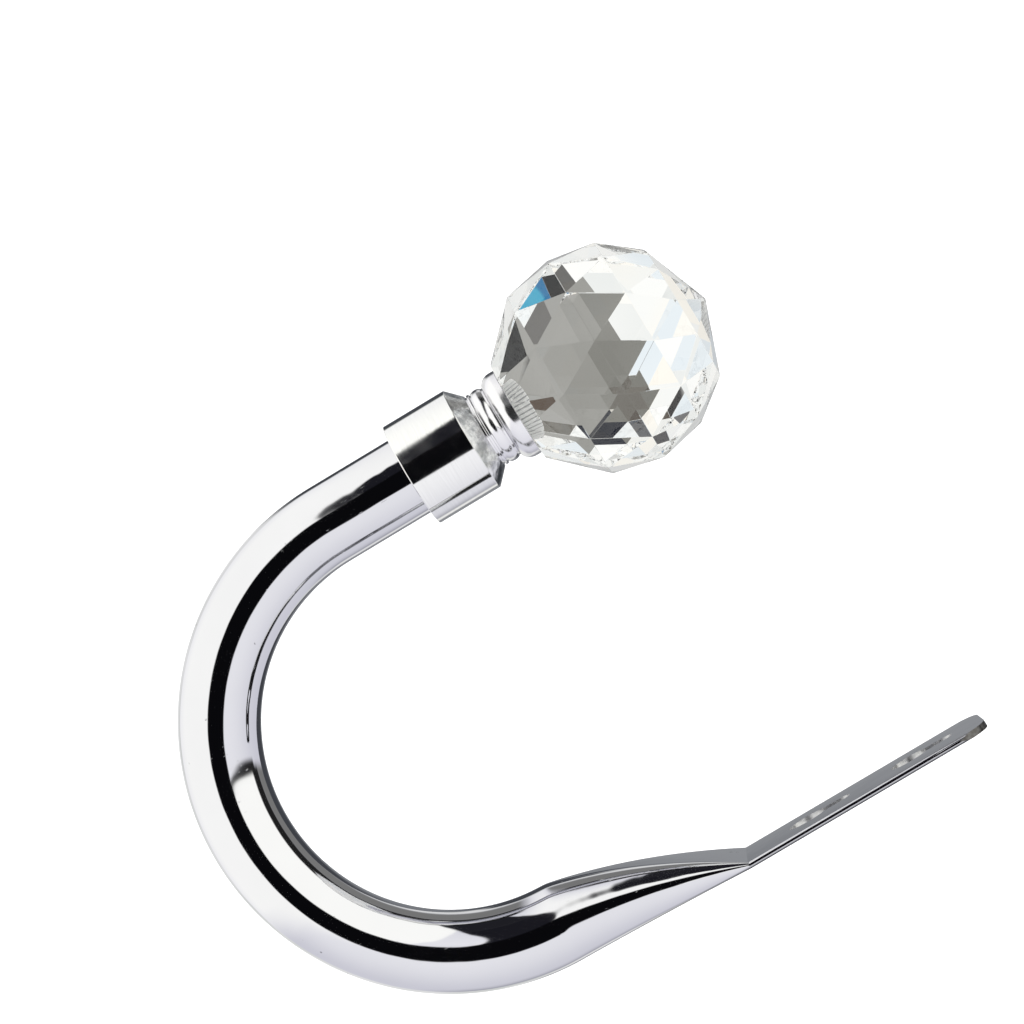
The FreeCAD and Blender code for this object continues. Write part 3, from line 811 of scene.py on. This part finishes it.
def glass_sky(tree, place):
    """What is seen through the glass: the pale surface under it, the shade and the small things on it."""
    cloud = span(tree, noise(tree, place, GLASS_CLOUD_SCALE, 2.0), 0.38, 0.60)
    shade = colour_mix(tree, cloud, GLASS_PALE, GLASS_GREY)
    hue = noise(tree, place, GLASS_HUE_SCALE, 1.0)
    shade = colour_mix(tree, span(tree, hue, 0.58, 0.66), shade, GLASS_CREAM)
    shade = colour_mix(tree, span(tree, hue, 0.42, 0.34), shade, GLASS_BLUE)
    fall = slope(tree, place, *GLASS_DARKER)
    mottle = span(tree, noise(tree, place, GLASS_MOTTLE_SCALE, 1.0), 0.3, 0.7, -0.2, 0.2)
    grey = colour_mix(tree, math_of(tree, "ADD", fall, mottle), GLASS_LIGHT, GLASS_DARK)
    shade = colour_mix(tree, under_shade(tree, place), shade, grey)
    for right, up, radius, colour in PATCHES:
        shade = colour_mix(tree, disc(tree, place, below(right, up), radius, PATCH_SOFT), shade, colour)
    return shade


def make_sky():
    """A plain pale world for the camera and matt surfaces, and another each for the metal and the glass."""
    world = bpy.data.worlds.new("studio")
    world.use_nodes = True
    world.cycles.sampling_method = "NONE"
    bpy.context.scene.world = world
    tree = world.node_tree
    place = tree.nodes.new("ShaderNodeTexCoord").outputs["Generated"]
    path = tree.nodes.new("ShaderNodeLightPath")
    light = tree.nodes["Background"]
    feed(tree, light.inputs["Color"], BACKDROP)
    seen_by = (
        ("Is Glossy Ray", metal_sky(tree, place)),
        ("Is Singular Ray", FACET_GLINT),
        ("Is Transmission Ray", glass_sky(tree, place)),
    )
    for seen, paint in seen_by:
        panels = tree.nodes.new("ShaderNodeBackground")
        feed(tree, panels.inputs["Color"], paint)
        mixed = tree.nodes.new("ShaderNodeMixShader")
        tree.links.new(path.outputs[seen], mixed.inputs[0])
        tree.links.new(light.outputs[0], mixed.inputs[1])
        tree.links.new(panels.outputs[0], mixed.inputs[2])
        light = mixed
    tree.links.new(light.outputs[0], tree.nodes["World Output"].inputs["Surface"])


def make_floor():
    """A pale matt floor and a soft light for it. Neither shows in a reflection or through the glass."""
    mesh = bpy.data.meshes.new("floor")
    sides = ((-1, -1), (1, -1), (1, 1), (-1, 1))
    corners = [(x * FLOOR_SIZE, y * FLOOR_SIZE, FLOOR_HEIGHT) for x, y in sides]
    mesh.from_pydata(corners, [], [(0, 1, 2, 3)])
    floor = new_object("floor", mesh)
    material, tree, shader = new_material("pale_floor")
    place = tree.nodes.new("ShaderNodeTexCoord").outputs["Object"]
    pale = colour_mix(tree, noise(tree, place, 3.0), *FLOOR_TONES)
    tree.links.new(pale, shader.inputs["Base Color"])
    shader.inputs["Roughness"].default_value = 1.0
    shader.inputs["Specular IOR Level"].default_value = 0.0
    mesh.materials.append(material)
    floor.visible_glossy = False
    floor.visible_transmission = False
    sun = bpy.data.lights.new("floor_light", "SUN")
    sun.energy = FLOOR_LIGHT
    sun.angle = math.radians(FLOOR_LIGHT_WIDTH)
    lamp = bpy.data.objects.new("floor_light", sun)
    lamp.visible_glossy = False
    lamp.visible_transmission = False
    bpy.context.scene.collection.objects.link(lamp)


def dress(piece, node, slot, *materials):
    for material in materials:
        piece.data.materials.append(material)
    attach(piece, "root")
    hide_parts(node)


TUBE_PLATE = {"tint": (0.66, 0.66, 0.69), "wave": 0.00004, "pits": 1.0, "haze_low": 0.03, "haze_high": 0.07}
NECK_PLATE = {"tint": (0.74, 0.735, 0.76), "wave": 0.00006, "pits": 0.6, "haze_low": 0.12, "haze_high": 0.20}
tube_chrome = chrome("tube_chrome", **TUBE_PLATE)
# The pressed sides' chrome, with a painted dark reflection along the rim by the wall
folded_chrome_with_painted_rim = chrome("folded_chrome_with_painted_rim", **TUBE_PLATE, rim=True)
punched_edge = satin(
    "punched_edge", (0.54, 0.54, 0.55), (0.68, 0.68, 0.69), rough=0.27, size=500.0, depth=0.000003
)
cut_edge = satin(
    "cut_edge", (0.11, 0.105, 0.10), (0.20, 0.195, 0.19), rough=0.40, size=1400.0, depth=0.00001
)
dress(make_hook_tube(), "hook_tube", "chromed_tube", tube_chrome, punched_edge, cut_edge, folded_chrome_with_painted_rim)
ferrule_steel = brushed("ferrule_steel", (0.78, 0.78, 0.78))
cone_metal = satin(
    "cone_metal", (0.32, 0.33, 0.34), (0.92, 0.92, 0.92), rough=0.20, size=480.0, depth=0.00004
)
dress(make_ferrule(), "ferrule", "brushed_ferrule", ferrule_steel, cone_metal)
neck_chrome = chrome("neck_chrome", **NECK_PLATE)
dress(make_neck(), "neck_cup", "polished_neck", neck_chrome, knurled("spigot_metal"))
dress(make_ball(), "crystal_ball", "crystal", crystal("clear_crystal"))
hidden_steel = satin(
    "hidden_steel", (0.34, 0.34, 0.35), (0.46, 0.46, 0.47), rough=0.35, size=900.0, depth=0.00002
)
for node in ("tube_insert", "finial_stud"):
    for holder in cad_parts[node].material_slots:
        holder.material = hidden_steel

make_camera()
make_sky()
make_floor()

scene = bpy.context.scene
scene.view_settings.view_transform = "Standard"
scene.cycles.max_bounces = BOUNCES
scene.cycles.transmission_bounces = BOUNCES
scene.cycles.glossy_bounces = BOUNCES
